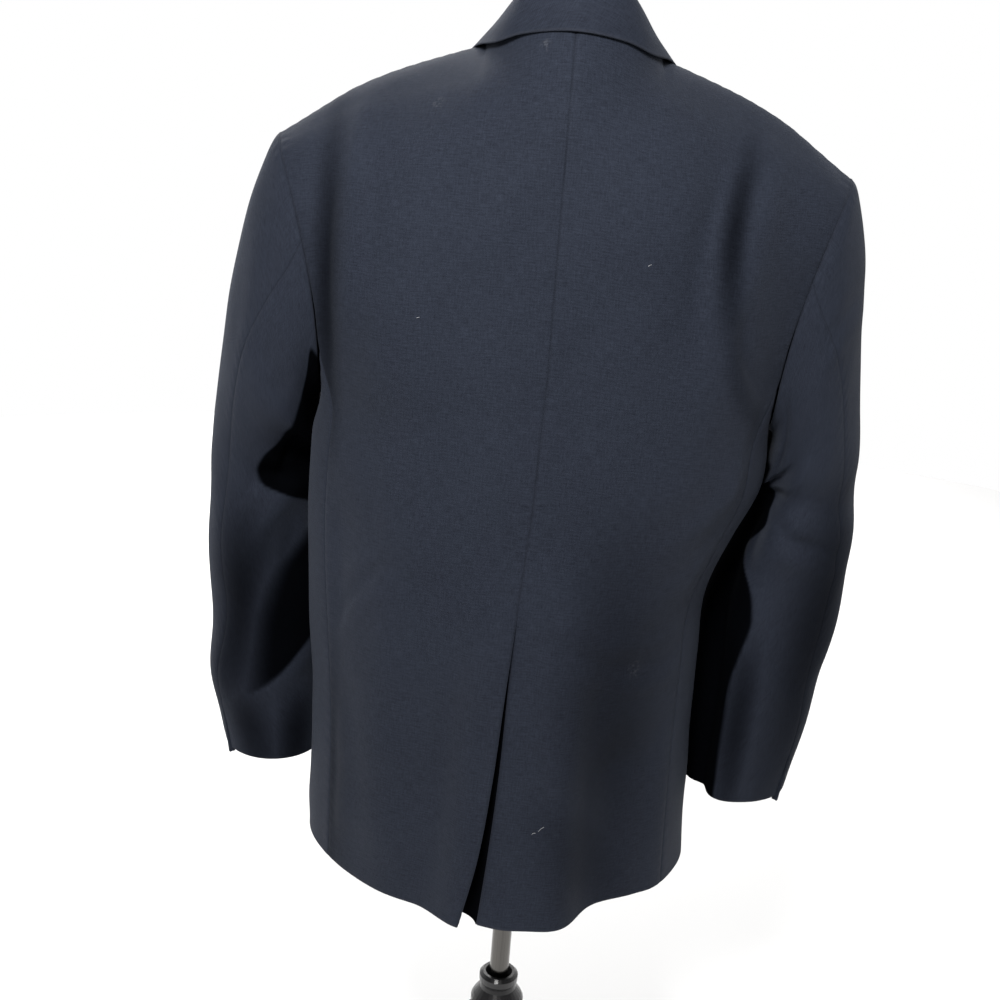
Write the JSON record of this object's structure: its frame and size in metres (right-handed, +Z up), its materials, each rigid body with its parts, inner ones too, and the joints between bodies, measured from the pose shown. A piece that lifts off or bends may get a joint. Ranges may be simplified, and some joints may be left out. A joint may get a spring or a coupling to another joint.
{
  "type": "blazer on a dress form",
  "caption": "Dark navy wool blazer with notched lapels, closed front and centre back vent, worn by a limbless dress form on a tripod stand.",
  "frame": {"origin": "middle of the part's box, on the floor under the feet", "axes": "+Z up, -Y the way the wearer would face, +X towards the wearer's left"},
  "size_m": [0.5977, 0.4685, 1.2789],
  "materials": {
    "blazer_wool": "plain-weave wool suiting, matt, dark navy, with a fine mottled grain",
    "button_plastic": "dark four-hole jacket button, satin",
    "form_shell": "smooth matt black",
    "pole_steel": "bright drawn tube",
    "stand_plastic": "glossy black moulding",
    "foot_rubber": "matt black rubber"
  },
  "bodies": {
    "base": {"hub": "stand_plastic", "leg_1": "stand_plastic", "leg_2": "stand_plastic", "leg_3": "stand_plastic", "foot_1": "foot_rubber", "foot_2": "foot_rubber", "foot_3": "foot_rubber"},
    "figure": {"back_left": "blazer_wool", "back_right": "blazer_wool", "vent_underlap": "blazer_wool", "side_left": "blazer_wool", "side_right": "blazer_wool", "front_left": "blazer_wool", "front_right": "blazer_wool", "lapel_left": "blazer_wool", "lapel_right": "blazer_wool", "collar": "blazer_wool", "topsleeve_left": "blazer_wool", "topsleeve_right": "blazer_wool", "undersleeve_left": "blazer_wool", "undersleeve_right": "blazer_wool", "button_upper": "button_plastic", "button_lower": "button_plastic", "form": "form_shell", "socket_plate": "stand_plastic", "pole": "pole_steel"}
  },
  "joints": [
    {"name": "stand_height", "type": "slide", "parent": "base", "child": "figure", "axis": [0, 0, 1], "range_m": [-0.1, 0.1]}
  ]
}
